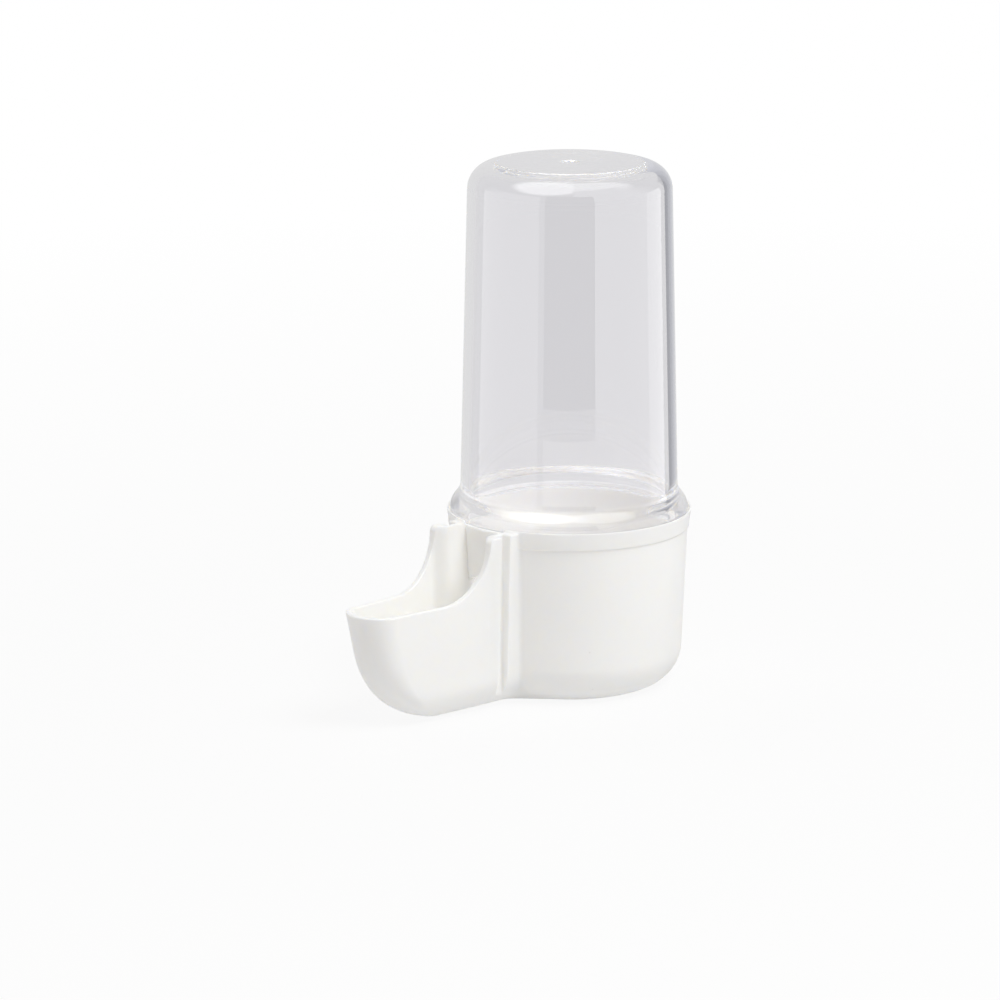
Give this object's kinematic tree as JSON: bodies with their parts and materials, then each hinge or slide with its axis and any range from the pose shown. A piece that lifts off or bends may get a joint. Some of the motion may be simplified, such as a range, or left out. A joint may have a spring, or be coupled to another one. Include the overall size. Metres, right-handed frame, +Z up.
{
  "type": "bird water drinker",
  "caption": "Siphon drinker for a bird cage: a clear tapered reservoir bottle plugged mouth-down into a white drum base with wire grooves and an open drinking spout.",
  "frame": {"origin": "centre of the drum's flat underside", "axes": "+Z up along the bottle's axis, -Y along the spout, +X across the spout"},
  "size_m": [0.055, 0.0931, 0.1188],
  "materials": {
    "white_plastic": "satin moulded polypropylene",
    "clear_plastic": "clear polished polystyrene"
  },
  "bodies": {
    "base": {"drinker_base": "white_plastic"},
    "bottle": {"reservoir_bottle": "clear_plastic"}
  },
  "joints": [
    {"name": "bottle_lift", "type": "slide", "parent": "base", "child": "bottle", "axis": [0, 0, 1], "range_m": [0, 0.06]}
  ]
}
